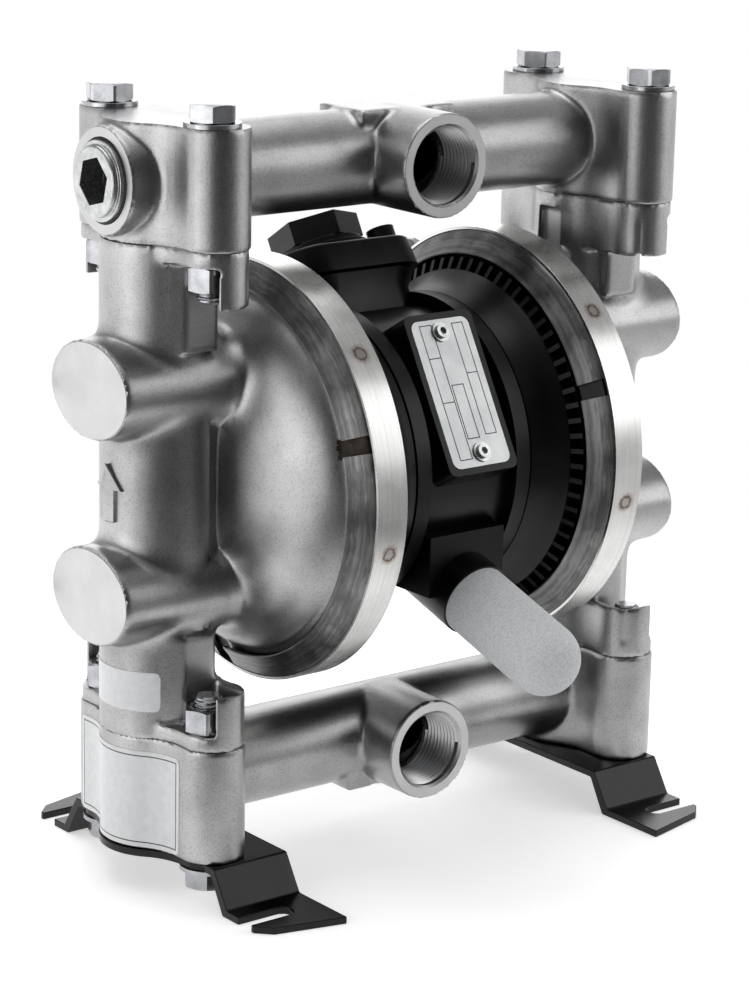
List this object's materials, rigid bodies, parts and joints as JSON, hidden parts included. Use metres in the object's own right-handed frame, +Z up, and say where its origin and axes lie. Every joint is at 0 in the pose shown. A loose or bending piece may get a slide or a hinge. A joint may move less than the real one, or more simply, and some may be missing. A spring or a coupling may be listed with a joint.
{
  "type": "air operated double diaphragm pump",
  "caption": "Compact metallic air operated double diaphragm pump: flanged fluid ends and manifolds, clamp bands, black air section, muffler and bent feet.",
  "frame": {"origin": "on the floor under the middle of the centre section, where the plane of symmetry meets the vertical plane through the shaft's axis", "axes": "+X along the diaphragm shaft, towards the end whose inlet manifold is plugged; -Y out of the two fluid ports; +Z up"},
  "size_m": [0.2408, 0.1853, 0.2662],
  "materials": {
    "cast_stainless": "bead-blasted casting",
    "bright_steel": "machined or zinc plated",
    "rolled_stainless": "rolled and polished strip",
    "black_polypropylene": "moulded, fine grain",
    "black_coating": "semi-gloss powder coat",
    "black_rubber": "moulded",
    "white_ptfe": "turned, waxy",
    "pale_acetal": "moulded, satin",
    "sintered_polyethylene": "sintered, porous",
    "plate_metal": "satin sheet",
    "ground_steel": "ground"
  },
  "bodies": {
    "pump": {"outlet_manifold": "cast_stainless", "inlet_manifold": "cast_stainless", "outlet_plug": "bright_steel", "inlet_plug": "bright_steel", "fluid_cover_left": "cast_stainless", "fluid_cover_right": "cast_stainless", "clamp_segments_left": "rolled_stainless", "clamp_segments_right": "rolled_stainless", "clamp_strap_left": "rolled_stainless", "clamp_strap_right": "rolled_stainless", "clamp_latch_left": "bright_steel", "clamp_latch_right": "bright_steel", "clamp_nuts": "bright_steel", "air_cover_left": "black_polypropylene", "air_cover_right": "black_polypropylene", "cover_gaskets": "black_rubber", "air_cover_screws": "bright_steel", "centre_housing": "black_polypropylene", "shaft_bearings": "pale_acetal", "shaft_seals": "black_rubber", "valve_cover": "black_polypropylene", "valve_cover_gasket": "black_rubber", "valve_cover_screws": "bright_steel", "air_inlet_fitting": "black_polypropylene", "valve_plate": "pale_acetal", "pilot_bushes": "pale_acetal", "name_plate": "plate_metal", "name_plate_screws": "bright_steel", "muffler": "sintered_polyethylene", "diaphragm_left": "black_rubber", "diaphragm_right": "black_rubber", "inlet_seats": "bright_steel", "outlet_seats": "bright_steel", "inlet_seat_seals": "black_rubber", "outlet_seat_seals": "black_rubber", "foot_left": "black_coating", "foot_right": "black_coating", "top_bolts": "bright_steel", "top_washers": "bright_steel", "top_nuts": "bright_steel", "bottom_bolts": "bright_steel", "bottom_washers": "bright_steel", "bottom_nuts": "bright_steel"},
    "reciprocating": {"diaphragm_shaft": "ground_steel", "air_plates": "bright_steel", "fluid_plates": "bright_steel", "shaft_bolts": "bright_steel"},
    "valve_spool": {"valve_cup": "pale_acetal", "valve_carriage": "pale_acetal", "actuator_pistons": "pale_acetal", "piston_seals": "black_rubber"},
    "pilot": {"pilot_block": "pale_acetal", "pilot_pins": "ground_steel"},
    "ball_in_left": {"inlet_ball_left": "white_ptfe"},
    "ball_in_right": {"inlet_ball_right": "white_ptfe"},
    "ball_out_left": {"outlet_ball_left": "white_ptfe"},
    "ball_out_right": {"outlet_ball_right": "white_ptfe"}
  },
  "joints": [
    {"name": "shaft_slide", "type": "slide", "parent": "pump", "child": "reciprocating", "axis": [1, 0, 0], "range_m": [-0.007, 0.007], "deforming": ["diaphragm_left", "diaphragm_right"]},
    {"name": "valve_slide", "type": "slide", "parent": "pump", "child": "valve_spool", "axis": [1, 0, 0], "range_m": [-0.004, 0.004]},
    {"name": "pilot_slide", "type": "slide", "parent": "pump", "child": "pilot", "axis": [1, 0, 0], "range_m": [-0.003, 0.003]},
    {"name": "ball_in_left_lift", "type": "slide", "parent": "pump", "child": "ball_in_left", "axis": [0, 0, 1], "range_m": [0, 0.005]},
    {"name": "ball_in_right_lift", "type": "slide", "parent": "pump", "child": "ball_in_right", "axis": [0, 0, 1], "range_m": [0, 0.005]},
    {"name": "ball_out_left_lift", "type": "slide", "parent": "pump", "child": "ball_out_left", "axis": [0, 0, 1], "range_m": [0, 0.005]},
    {"name": "ball_out_right_lift", "type": "slide", "parent": "pump", "child": "ball_out_right", "axis": [0, 0, 1], "range_m": [0, 0.005]}
  ]
}
